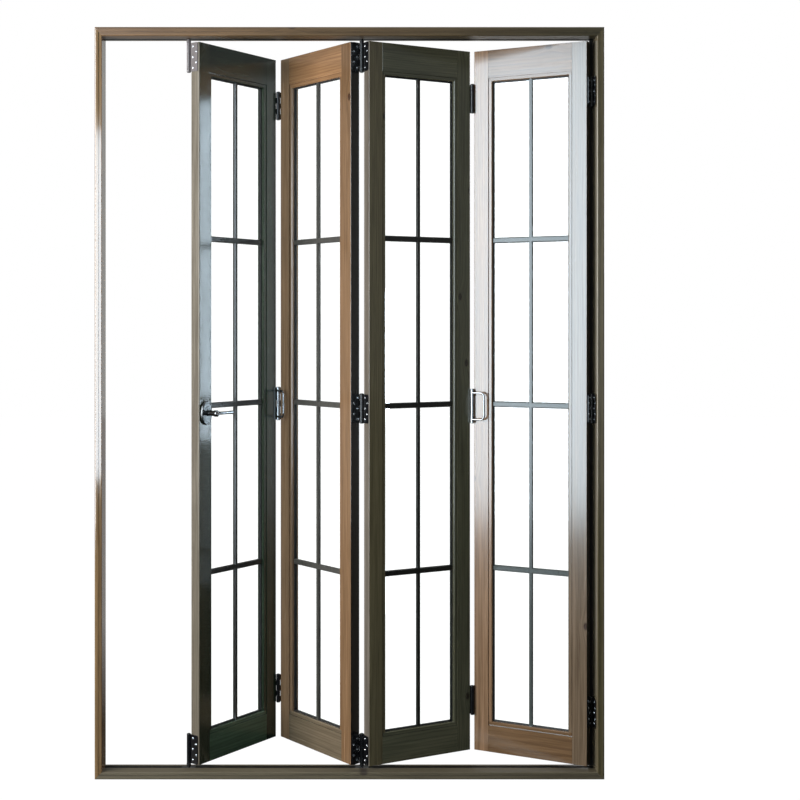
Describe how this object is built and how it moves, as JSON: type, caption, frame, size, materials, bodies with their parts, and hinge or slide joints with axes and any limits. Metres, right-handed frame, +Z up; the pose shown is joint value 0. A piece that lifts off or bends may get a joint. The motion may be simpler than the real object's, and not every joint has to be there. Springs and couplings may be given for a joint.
{
  "type": "bifold glass patio door",
  "caption": "Timber patio door set with glazed leaves folding on a top track, shown part folded, in a slim mitred frame with hinges, pulls and a lever handle.",
  "frame": {"origin": "centre of the sill's underside", "axes": "+Z up, +X to the right seen from the room, +Y to the side that the leaves fold towards"},
  "size_m": [1.47, 0.3195, 2.17],
  "materials": {
    "frame_timber": "dark walnut stain, satin varnish",
    "leaf_timber": "dark walnut stain, satin varnish",
    "bar_timber": "dark stain, satin varnish",
    "clear_glass": "clear float glass",
    "gasket_rubber": "matt",
    "black_steel": "black powder coat",
    "track_aluminium": "satin anodised",
    "chrome": "polished"
  },
  "bodies": {
    "door_set": {"frame_head": "frame_timber", "frame_sill": "frame_timber", "frame_jamb_left": "frame_timber", "frame_jamb_right": "frame_timber", "head_track": "track_aluminium", "sill_guide": "track_aluminium", "leaf_1_stile_left": "leaf_timber", "leaf_1_stile_right": "leaf_timber", "leaf_1_rail_bottom": "leaf_timber", "leaf_1_rail_top": "leaf_timber", "leaf_1_glass": "clear_glass", "leaf_1_glazing_bars": "bar_timber", "leaf_2_stile_left": "leaf_timber", "leaf_2_stile_right": "leaf_timber", "leaf_2_rail_bottom": "leaf_timber", "leaf_2_rail_top": "leaf_timber", "leaf_2_glass": "clear_glass", "leaf_2_glazing_bars": "bar_timber", "leaf_3_stile_left": "leaf_timber", "leaf_3_stile_right": "leaf_timber", "leaf_3_rail_bottom": "leaf_timber", "leaf_3_rail_top": "leaf_timber", "leaf_3_glass": "clear_glass", "leaf_3_glazing_bars": "bar_timber", "leaf_4_stile_left": "leaf_timber", "leaf_4_stile_right": "leaf_timber", "leaf_4_rail_bottom": "leaf_timber", "leaf_4_rail_top": "leaf_timber", "leaf_4_glass": "clear_glass", "leaf_4_glazing_bars": "bar_timber", "glazing_gaskets": "gasket_rubber", "jamb_seal": "gasket_rubber", "hinges_1_2": "black_steel", "hinges_3_4": "black_steel", "hinge_2_3": "black_steel", "carrier_2_3": "black_steel", "guide_2_3": "black_steel", "carrier_1": "black_steel", "guide_1": "black_steel", "hinges_jamb": "black_steel", "pull_handle_1_2": "chrome", "pull_handle_3_4": "chrome", "lever_rose": "chrome"},
    "lever": {"lever_handle": "chrome"}
  },
  "joints": [
    {"name": "lever_turn", "type": "hinge", "parent": "door_set", "child": "lever", "pos_m": [-0.41955, 0.01416, 1.054], "axis": [-0.7869, 0.617, 0], "range_deg": [0, 45], "stiffness_Nm_per_rad": 1.5, "springref_deg": -28.65}
  ]
}
